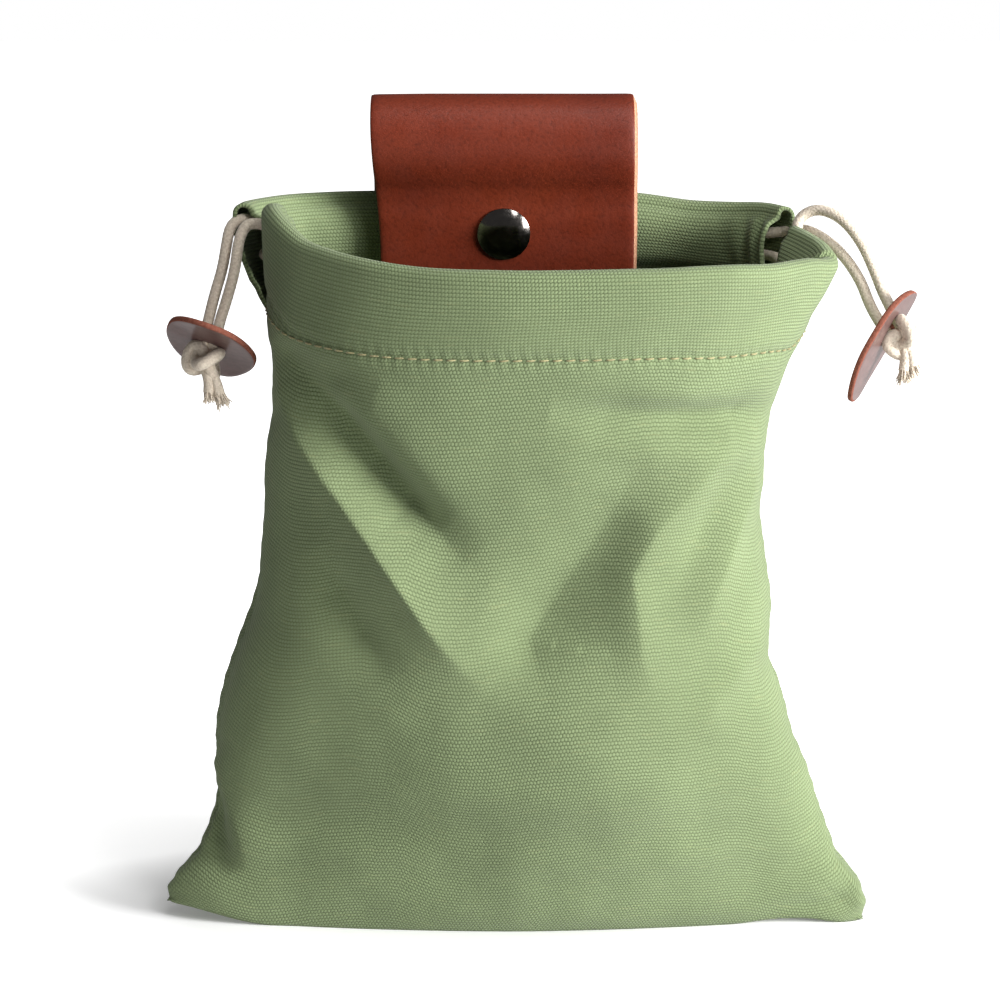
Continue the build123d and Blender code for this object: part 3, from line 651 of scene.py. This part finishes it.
# Folds: sharpness, and a line of x, z, height, width to the left, width to the right
FRONT_FOLDS = [
    (0.75, [(-68.5, 181, 0.0, 5, 10), (-67.0, 170, 2.0, 6, 12), (-64.0, 159, 4.0, 7, 14),
        (-58.5, 148.7, 5.4, 8, 14), (-51.5, 138.9, 6.6, 8, 14), (-46.0, 131.7, 7.2, 8, 13),
        (-38.5, 121.1, 7.8, 8, 12), (-31.5, 110.3, 7.4, 8, 11), (-26.0, 100.9, 6.0, 8, 11),
        (-20, 92, 3.4, 8, 11), (-14, 85, 1.2, 8, 11), (-8, 79, 0.0, 8, 11)]),
    (0.3, [(-67, 174, 0.0, 9, 5), (-60.5, 166, -4.0, 10, 5), (-49.5, 155.0, -8.5, 11, 5.5),
        (-39.0, 143.1, -11.0, 12, 6), (-29.5, 132.0, -10.0, 12, 6), (-22, 124, -4.5, 11, 7),
        (-14, 116, -1.0, 11, 9), (-8, 110, 0.0, 10, 9)]),
    (0.2, [(-56, 118, 0.0, 8, 6), (-50, 107, -3.0, 9, 6), (-43.5, 95, -3.0, 8, 6), (-36, 82, 0.0, 8, 6)]),
    (0.45, [(-66.5, 152, 0.0, 3, 5), (-67.0, 144.8, 1.2, 3, 5), (-71.4, 122.3, 1.8, 3, 5),
        (-72.9, 110.5, 1.5, 3, 5), (-74.8, 97, 0.0, 3, 5)]),
    (0.25, [(36, 150, 0.0, 8, 8), (30, 139, -1.2, 9, 8), (24, 127, -2.4, 10, 9),
        (16, 114, -3.2, 10, 10), (8, 101.7, -4.2, 10, 12), (3, 94, -3.8, 9, 12), (6, 84, -1.2, 9, 12),
        (10, 74, 0.0, 8, 10)]),
    (0.35, [(64, 159, 0.0, 6, 5), (59, 152.4, 1.4, 7, 6), (48.5, 138, 2.6, 7, 7), (37, 126, 3.2, 7, 7),
        (30.5, 113.4, 3.4, 7, 7), (32, 101.6, 3.2, 7, 8), (33, 90, 2.4, 7, 8), (37, 78, 0.0, 7, 8)]),
    (0.4, [(66, 141, 0.0, 5, 4), (64, 133.6, 1.8, 5, 5), (59, 123.1, 2.6, 5, 5), (56, 113, 2.4, 5, 5),
        (52.5, 102.9, 1.4, 5, 5), (49, 94, 0.0, 5, 4)]),
    (0.0, [(58, 142, 0.0, 4, 4), (51, 127, -0.8, 4, 4), (46, 113, -0.6, 4, 4), (42, 101, 0.0, 4, 4)]),
    (0.25, [(69, 93, 0.0, 6, 5), (66, 87.7, 1.5, 6, 5), (60, 82.4, 2.0, 6, 6), (54, 74.8, 1.6, 7, 6),
        (49, 64, 0.0, 7, 7)]),
    (0.0, [(8, 160, 0.0, 5, 5), (24, 158, -3.0, 6, 5), (44, 156.0, -4.8, 6, 5), (60, 155.0, -4.8, 6, 5),
        (72, 154, 0.0, 5, 5)]),
    (0.0, [(20, 149, 0.0, 5, 5), (36, 147, 1.0, 5, 5), (56, 145.5, 1.2, 5, 5), (68, 144, 0.0, 5, 5)]),
    (0.0, [(-70, 176, 0.0, 6, 6), (-62.8, 172.9, -2.2, 6, 6), (-50, 167, -2.6, 6, 6),
        (-38, 163, 0.0, 6, 6)]),
    (0.3, [(-90, 54, 0.0, 5, 10), (-87.4, 48.1, 1.8, 5, 10), (-83, 39.4, 2.6, 5, 11),
        (-80.3, 30.4, 2.4, 5, 11), (-79, 23.9, 1.4, 5, 10), (-78, 16, 0.0, 5, 10)]),
    (0.0, [(-92, 44, 0.0, 4, 4), (-89, 36, -2.2, 4, 4), (-87, 26, -2.4, 4, 4), (-86, 15, 0.0, 4, 4)]),
    (0.0, [(70, 0, 0.0, 7, 6), (84, 3, -1.8, 7, 6), (94, 8, -2.0, 6, 6), (99, 14, 0.0, 5, 5)]),
]
# Broad swells and hollows of the front: middle x and z, half sizes, height
FRONT_HOLLOWS = [(4, 104, 26, 28, -2.5), (-78, 62, 16, 26, 1.5), (30, 186, 40, 12, 0.8),
    (-60, 58, 34, 34, -5.4), (24, 56, 30, 36, 4.2)]
BACK_FOLDS = [
    (0.2, [(-66, 168, 0.0, 8, 8), (-60, 140, 2.2, 9, 9), (-52, 112, 2.0, 9, 9), (-46, 88, 0.0, 9, 9)]),
    (0.2, [(-56, 150, 0.0, 7, 7), (-48, 124, -2.2, 8, 8), (-38, 100, -1.6, 8, 8), (-34, 84, 0.0, 8, 8)]),
    (0.2, [(66, 168, 0.0, 8, 8), (62, 146, 2.0, 8, 8), (52, 120, 2.2, 9, 9), (46, 92, 0.0, 9, 9)]),
    (0.2, [(54, 140, 0.0, 7, 7), (44, 118, -2.0, 8, 8), (34, 92, -1.4, 8, 8), (30, 74, 0.0, 8, 8)]),
    (0.0, [(-30, 140, 0.0, 14, 14), (-26, 110, 1.4, 16, 16), (-20, 70, 1.6, 16, 16),
        (-16, 36, 0.0, 14, 14)]),
    (0.0, [(8, 140, 0.0, 12, 12), (8, 100, -1.6, 14, 14), (10, 60, -1.4, 14, 14), (12, 30, 0.0, 12, 12)]),
]


def wall_points(side, columns, heights_wanted, rim):
    """The wall's points for rows at nominal heights that bend to follow the rim at the top."""
    levels, plans = panel_plan(side, columns)
    z = np.broadcast_to(np.asarray(heights_wanted, float)[:, None], (len(heights_wanted), columns)).copy()
    z += (rim[None, :] - RIM_LEVEL) * ease(140, RIM_LEVEL, z)
    flat = np.empty((len(heights_wanted), columns, 2))
    for column in range(columns):
        flat[:, column] = smooth_table(np.column_stack([levels, plans[:, column]]), z[:, column])
    return np.concatenate([flat, z[..., None]], axis=2)


def grid_normals(points):
    return unit(np.cross(np.gradient(points, axis=1), np.gradient(points, axis=0)))


def arc_lengths(points, axis):
    steps = np.linalg.norm(np.diff(points, axis=axis), axis=2)
    start = np.zeros_like(np.take(steps, [0], axis=axis))
    return np.concatenate([start, np.cumsum(steps, axis=axis)], axis=axis)


def rim_heights(side, plan):
    """Height of the rim at each point of its plan."""
    rim = smooth_table(FRONT_RIM if side == FRONT else BACK_RIM, plan[:, 0])
    if side == FRONT:
        behind = np.clip((plan[:, 1] - CORNER_Y) / 18.0, 0, 1) * (plan[:, 0] > 0)
        rim = rim * (1 - behind) + FRONT_END_RIM * behind
    return rim


def raised(side, wall, out, girth, rim):
    """The wall with its folds, its row of stitches and its side seams pressed in."""
    x, z = wall[..., 0], wall[..., 2]
    below = rim[None, :] - z
    share = np.linspace(0, 1, wall.shape[1])
    seam = np.minimum(share, 1 - share)[None, :] * girth[:, -1:]
    folds = FRONT_FOLDS if side == FRONT else BACK_FOLDS
    relief = sum(stroke(x, z, line, sharp) for sharp, line in folds)
    if side == FRONT:
        for middle_x, middle_z, wide, tall, height in FRONT_HOLLOWS:
            relief += height * np.exp(-((x - middle_x) / wide) ** 2 - ((z - middle_z) / tall) ** 2)
    relief += 0.45 * soft_noise(x, z, 24, 1 + side) + 0.16 * soft_noise(x, z, 9, 5 + side)
    relief = relief * ease(12, 34, below) * ease(0, 6, z) * ease(-1, 7, seam)
    relief -= 0.65 * bell(below - STITCH_GROOVE, 1.5)
    relief += 0.14 * np.cos(2 * math.pi * girth / STITCH) * bell(below - STITCH_GROOVE, 2.6)
    under_hem = 1 - ease(172, 186, z)
    relief -= 1.5 * bell(seam, 2.4) * under_hem * ease(0, 10, z)
    relief += 0.28 * np.cos(2 * math.pi * z / 6.0) * bell(seam, 5.0) * under_hem
    # At a side seam both panels move straight sideways, so that they stay joined
    at_seam = bell(seam, 3.0)[..., None]
    push = unit(out * (1 - at_seam) + np.sign(x)[..., None] * np.array([1.0, 0.0, 0.0]) * at_seam)
    return wall + push * relief[..., None]


def rim_turn(wall, out):
    """The cloth's half turn inwards over the rim."""
    up = unit(wall[-1] - wall[-4])
    inward = unit(-out[-1] - up * np.sum(-out[-1] * up, axis=1, keepdims=True))
    turn = np.linspace(0, math.pi, 11)[1:]
    return np.array([wall[-1] + inward * FOLD * (1 - math.cos(a)) + up * FOLD * math.sin(a)
                     for a in turn])


def hem_gap(below, side):
    """Thickness of the turned hem at a distance below the rim."""
    thick = smooth_table(HEM_THICKNESS, below)
    return thick + (1.2 * ease(0, 7, below) * ease(23, 16, below) if side == BACK else 0.0)


def hem_inside(side, wall, out, girth, heights):
    """Rows of the turned hem inside the wall, from the rim down."""
    rows = []
    for depth in np.arange(FOLD + 1.0, HEM + 1.6, 1.0):
        at = np.interp(heights[-1] + FOLD - depth, heights, np.arange(len(heights)))
        k = min(int(at), len(heights) - 2)
        here, above = 1 - at + k, at - k
        outer = wall[k] * here + wall[k + 1] * above
        n = unit(-(out[k] * here + out[k + 1] * above) * np.array([1, 1, 0.2]))
        from_right = girth[k, -1] - girth[k]
        from_end = np.minimum(girth[k], from_right)
        wavy = 0.5 * soft_noise(girth[k], np.full(len(n), depth), 14, 8 + side) * ease(5, 12, depth)
        wavy += 0.9 * bell(from_end, 14)
        if side == BACK:
            gathers = np.cos(2 * math.pi * from_right / 9.5) * bell(from_right, 16)
            wavy += 1.1 * gathers * ease(0, 6, depth)
        rows.append(outer + n * (hem_gap(depth, side) + wavy)[:, None])
    return np.array(rows)


def base_rows(side, foot):
    """Half of the base, from the bottom seam out to the foot of the wall."""
    seam_line = foot.copy()
    seam_line[:, 1] = SEAM_Y
    seam_line[:, 2] = BASE_SEAM_Z
    steps = np.linspace(0.0, 1.0, 9)[:-1]
    base = np.array([seam_line * (1 - t) + foot * t for t in steps])
    if side == BACK:
        base[..., 2] = BASE_SEAM_Z * (1 - steps[:, None])
    return base


def set_corners(grid):
    """Bends the bottom corners: the left one up, both forward, and a small rise beside the right one."""
    x, y, z = grid[..., 0], grid[..., 1], grid[..., 2]
    z += 5.0 * ease(-70, -100, x) * (1 - ease(0, 22, z)) * ease(16, 0, y)
    low = 1 - ease(6, 46, z)
    y -= low * (5.0 * ease(66, 100, x) + 3.0 * ease(-62, -96, x))
    z += 1.5 * ease(62, 80, x) * (1 - ease(84, 96, x)) * (1 - ease(0, 14, z)) * ease(8, -2, y)
    np.maximum(z, 0.0, out=z)


# side: FRONT or BACK; grid and uv: rows of points from the bottom seam over the rim into the hem;
# wall: the part of the grid that is the wall; heights: its rows' nominal heights
Panel = namedtuple("Panel", "side grid uv wall heights")


def make_panel(side):
    """One canvas panel: half the base, the wall, the turn at the rim and the hem inside."""
    columns = COLUMNS[side]
    rim = rim_heights(side, panel_plan(side, columns)[1][-2])
    top = RIM_LEVEL - FOLD
    heights = np.linspace(0, top, int(top / ROW_SPACING[side]) + 1)
    wall = wall_points(side, columns, heights, rim)
    out = grid_normals(wall) * -side
    girth = arc_lengths(wall, 1)
    wall = raised(side, wall, out, girth, rim)
    base = base_rows(side, wall[0])
    grid = np.concatenate([base, wall, rim_turn(wall, out), hem_inside(side, wall, out, girth, heights)])
    set_corners(grid)
    wall_end = len(base) + len(wall)
    u = arc_lengths(grid, 1)
    u = u - u[:, columns // 2][:, None]
    v = arc_lengths(grid, 0)
    v = v - v[wall_end - 1][None, :]
    return Panel(side, grid, np.stack([u, v], axis=2), grid[len(base):wall_end], heights)


def add_canvas(name, node, panel):
    faces = grid_faces(*panel.grid.shape[:2])
    if panel.side == BACK:
        faces = faces[:, ::-1]
    piece = add_object(name, make_mesh(name, panel.grid, faces, panel.uv), [CANVAS], "pouch")
    solid = piece.modifiers.new("cloth", "SOLIDIFY")
    solid.thickness = CLOTH * MM
    solid.offset = -1.0
    solid.use_even_offset = False
    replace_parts(piece, node)


THREAD_STEP = 0.35  # distance between points of the row of stitches
STITCH_POINTS = 10  # points from stitch to stitch, eight of them thread
STITCH_RADII = np.array([0.13, 0.21, 0.24, 0.25, 0.25, 0.24, 0.21, 0.13])


def level_outward(line, side):
    """Horizontal direction out of a panel at each point of a level line."""
    return unit(np.cross(np.gradient(line, axis=0), [0, 0, 1.0])) * -side


def hem_stitches(name, node, panel):
    """A running row of thread on a panel's outer face."""
    line = panel.wall[-1 - int(round((STITCH_DROP - FOLD) / ROW_SPACING[panel.side]))]
    line = line[4:-4] + level_outward(line, panel.side)[4:-4] * 0.12
    length = np.linalg.norm(np.diff(line, axis=0), axis=1).sum()
    line = resample(line, int(length / THREAD_STEP))
    seen = len(STITCH_RADII)
    rise = np.sin(np.linspace(0, math.pi, seen)) * 0.28
    parts = []
    for start in range(0, len(line) - seen, STITCH_POINTS):
        piece = line[start:start + seen]
        raised_piece = piece + level_outward(piece, panel.side) * (rise - 0.05)[:, None]
        parts.append(capped_tube(raised_piece, STITCH_RADII, 8))
    obj = add_object(name, make_mesh(name, *join_parts(parts)), [THREAD], "pouch")
    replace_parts(obj, node)


front, back = make_panel(FRONT), make_panel(BACK)
add_canvas("canvas_front", "front_panel", front)
add_canvas("canvas_back", "back_panel", back)
hem_stitches("front_hem_thread", "front_hem_stitching", front)
hem_stitches("back_hem_thread", "back_hem_stitching", back)


# ---- drawstrings inside the hems --------------
def hem_line(panel, depth, drops, first, last):
    """Points inside a hem from one column to another, depth in from its outer face.

    drops gives the distance below the rim at two places along x.
    """
    wall, heights = panel.wall, panel.heights
    points = []
    for column in np.linspace(first, last, 24).astype(int):
        drop = np.interp(wall[-1, column, 0], *zip(*drops))
        level = heights[-1] + FOLD - drop
        k = int(np.clip(np.searchsorted(heights, level), 1, len(wall) - 1))
        around = unit(wall[k, min(column + 2, wall.shape[1] - 1)] - wall[k, max(column - 2, 0)])
        inward = unit(np.cross([0, 0, 1.0], around)) * -panel.side
        points.append(wall[k, column] + inward * depth)
    return points


def drawstring(side, through_front, through_back):
    """One drawstring as it lies in both hems, between its two free strands."""
    starts = [STRANDS[side + end][1][0] for end in ("_front_strand", "_back_strand")]
    line = curve_points([starts[0]] + through_front + through_back + [starts[1]])
    name = side + "_drawstring_woven"
    mesh = make_mesh(name, *braided_cord(line, step=0.5, around=16))
    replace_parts(add_object(name, mesh, [COTTON], "pouch"), side + "_drawstring")


HIGH, LOW = 6.2, 15.5  # distances below the rim where the two cords pass each other
drawstring("left", hem_line(front, 2.9, [(-60, HIGH), (70, LOW)], 14, 272),
           hem_line(back, 2.9, [(-66, HIGH), (-36, LOW)], 146, 10))
drawstring("right", hem_line(front, 5.6, [(-60, LOW), (66, HIGH)], 262, 8),
           hem_line(back, 4.4, [(26, LOW), (64, 8.5)], 6, 140))

# ---- leather strap ----------------------------
STRAP_X = -3.9  # middle
STRAP_WIDTH = 75.0
LEATHER = 2.8  # thickness
BAND_STEP = 0.8  # distance between rows
CORNER = 6.0  # radius of the flap's corners
# (y, z) from the rivets up to the loop
LEG_LINE = [(46.2, 148.0), (46.2, 160.0), (46.2, 168.0), (45.9, 174.0), (45.0, 182.0), (43.0, 197.0),
    (40.6, 214.0), (38.81, 226.56)]
LOOP_CENTRE = (28.42, 225.1)
LOOP_RADIUS = 10.5
# (y, z) from the loop down to the flap's end
FLAP_LINE = [(17.95, 221.8), (18.6, 218.6), (20.3, 214.8), (22.2, 211.6), (23.5, 207.6), (24.4, 202.0),
    (25.22, 198.2), (26.3, 190.0), (27.75, 180.2)]


def loop_arc():
    y, z = LEG_LINE[-1]
    start = math.atan2(z - LOOP_CENTRE[1], y - LOOP_CENTRE[0])
    return [(LOOP_CENTRE[0] + LOOP_RADIUS * math.cos(a), LOOP_CENTRE[1] + LOOP_RADIUS * math.sin(a))
            for a in np.linspace(start, math.pi, 30)]


def strap_sides(z, y):
    """Left and right edges of the strap, whose front run moves a little as it goes into the mouth."""
    drop = ease(232, 192, z) * ease(34, 26, y)
    return STRAP_X - STRAP_WIDTH / 2 + 2.2 * drop, STRAP_X + STRAP_WIDTH / 2 + 0.6 * drop


def corner_pull(remaining):
    """How far an edge is drawn in at a rounded corner, this far from the end."""
    if remaining >= CORNER:
        return 0.0
    return CORNER - math.sqrt(max(CORNER ** 2 - (CORNER - remaining) ** 2, 0.0))


def band(name, line, is_flap):
    """A leather band along a (y, z) line: grain face, flesh face and cut edges, in one mesh.

    The flap's lower end is closed and has round corners; the leg's lower end is closed and square.
    """
    line = np.array(line, float)
    steps = np.concatenate([[0], np.cumsum(np.linalg.norm(np.diff(line, axis=0), axis=1))])
    wanted = np.linspace(0, steps[-1], int(steps[-1] / BAND_STEP))
    fine = smooth_table(np.column_stack([steps, line]), wanted)
    tangent = unit(np.gradient(fine, axis=0))
    normal = np.stack([tangent[:, 1], -tangent[:, 0]], axis=1)
    total = len(fine)
    across = np.concatenate([[0, 0.25, 0.8], np.linspace(2, 73, 60), [74.2, 74.75, 75]]) / STRAP_WIDTH
    crown = LEATHER / 2 - 0.35 * np.exp(-np.minimum(across, 1 - across) * STRAP_WIDTH / 0.5)
    rows = []
    for i, ((y, z), (ny, nz)) in enumerate(zip(fine, normal)):
        left, right = strap_sides(z, y)
        pull = corner_pull((total - 1 - i) * BAND_STEP) if is_flap else 0.0
        lo, hi = left + pull, right - pull
        grain_x = lo + (hi - lo - 1.1) * across + 0.1
        flesh_x = lo + (hi - lo) * across
        wave = 0.25 * soft_noise(grain_x, np.full_like(grain_x, z + y), 22, 3)
        grain = np.stack([grain_x, y + ny * (crown + wave), z + nz * (crown + wave)], axis=1)
        flesh = np.stack([flesh_x, y - ny * (crown - wave), z - nz * (crown - wave)], axis=1)
        rows.append(np.concatenate([grain, flesh[::-1]]))
    count = len(across)
    kinds = np.zeros((total - 1, 2 * count), int)
    kinds[:, count:] = 2
    kinds[:, [count - 1, 2 * count - 1]] = 1
    faces = [list(face) for face in grid_faces(total, 2 * count, round_cols=True)]
    first = (total - 1) * 2 * count if is_flap else 0
    for k in range(count - 1):
        quad = [first + k, first + k + 1, first + 2 * count - 2 - k, first + 2 * count - 1 - k]
        faces.append(quad if is_flap else quad[::-1])
    kinds = list(kinds.ravel()) + [1] * (count - 1)
    return make_mesh(name, np.array(rows), faces, face_material=kinds)


def add_band(name, line, is_flap, body):
    return add_object(name, band(name, line, is_flap), [GRAIN, EDGE, FLESH], body)


leg = add_band("strap_leg_leather", LEG_LINE, False, "pouch")
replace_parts(leg, "strap_leg")
flap = add_band("strap_flap_leather", loop_arc() + FLAP_LINE, True, None)
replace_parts(flap, "strap_flap")
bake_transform(flap)


# ---- carried-over metal and thread ------------
def paint(node, material):
    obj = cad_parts[node]
    if not obj.data.materials:
        obj.data.materials.append(material)
    for place in obj.material_slots:
        place.material = material


PAINTED = {
    "snap_cap": GUNMETAL_WITH_PAINTED_REFLECTION, "snap_socket": DULL_METAL, "snap_stud": DULL_METAL, "snap_post": GUNMETAL_WITH_PAINTED_REFLECTION,
    "rivet_caps": GUNMETAL_WITH_PAINTED_REFLECTION, "rivet_posts": DULL_METAL, "left_side_stitching": THREAD,
    "right_side_stitching": THREAD, "bottom_stitching": THREAD,
}
for painted_node, paint_material in PAINTED.items():
    paint(painted_node, paint_material)


# ---- stage and light --------------------------
def paper_material():
    """White paper that glows for the camera only, less close to the pouch so that its shadow stays."""
    paper = Shader("white_paper", roughness=0.9, specular=0.1)
    paper.surface.inputs["Base Color"].default_value = (0.92, 0.92, 0.92, 1)
    paper.surface.inputs["Emission Color"].default_value = (1, 1, 1, 1)
    foot = paper.node("ShaderNodeMapping")
    paper.link(paper.place(), foot.inputs[0])
    foot.inputs["Location"].default_value = (0.0, -0.19, 0.0)
    foot.inputs["Scale"].default_value = (9.3, 24.0, 1.0)
    distance = paper.node("ShaderNodeVectorMath", operation="LENGTH")
    paper.link(foot.outputs[0], distance.inputs[0])
    glow = paper.ramp(paper.math("MULTIPLY", distance.outputs["Value"], 0.2),
                      (0.19, (0.16,) * 3), (0.28, (0.66,) * 3), (1.0, (1.0,) * 3))
    camera_ray = paper.node("ShaderNodeLightPath").outputs["Is Camera Ray"]
    strength = paper.math("MULTIPLY", camera_ray, paper.math("MULTIPLY", glow, 1.1))
    paper.link(strength, paper.surface.inputs["Emission Strength"])
    return paper.material


def add_floor(half):
    mesh = bpy.data.meshes.new("floor")
    corners = [(-half, -half, 0), (half, -half, 0), (half, half, 0), (-half, half, 0)]
    mesh.from_pydata(corners, [], [(0, 1, 2, 3)])
    mesh.materials.append(paper_material())
    floor = bpy.data.objects.new("floor", mesh)
    scene.collection.objects.link(floor)


def area_light(name, location, aim, size, power):
    data = bpy.data.lights.new(name, "AREA")
    data.shape = "RECTANGLE"
    data.size, data.size_y = size
    data.energy = power
    light = bpy.data.objects.new(name, data)
    light.location = location
    light.rotation_euler = (Vector(aim) - Vector(location)).to_track_quat("-Z", "Y").to_euler()
    scene.collection.objects.link(light)


def make_world():
    """White where the camera sees it, and a dim fill light for everything else."""
    world = bpy.data.worlds.new("studio")
    scene.world = world
    world.use_nodes = True
    nodes, links = world.node_tree.nodes, world.node_tree.links
    fill, white = nodes["Background"], nodes.new("ShaderNodeBackground")
    for background, strength in ((fill, 0.12), (white, 1.0)):
        background.inputs["Color"].default_value = (1, 1, 1, 1)
        background.inputs["Strength"].default_value = strength
    chosen = nodes.new("ShaderNodeMixShader")
    links.new(nodes.new("ShaderNodeLightPath").outputs["Is Camera Ray"], chosen.inputs[0])
    links.new(fill.outputs[0], chosen.inputs[1])
    links.new(white.outputs[0], chosen.inputs[2])
    links.new(chosen.outputs[0], nodes["World Output"].inputs["Surface"])


add_floor(4)
area_light("key", (1.33, -0.62, 0.44), (0.0, 0.0, 0.10), (0.6, 0.6), 46.0)
area_light("top", (0.30, -0.30, 1.25), (0.0, 0.03, 0.2), (0.6, 0.6), 5.0)
area_light("glint", (0.30, -0.42, 0.62), (0.0, 0.02, 0.2), (0.14, 0.20), 1.2)
make_world()
scene.view_settings.view_transform = "Standard"
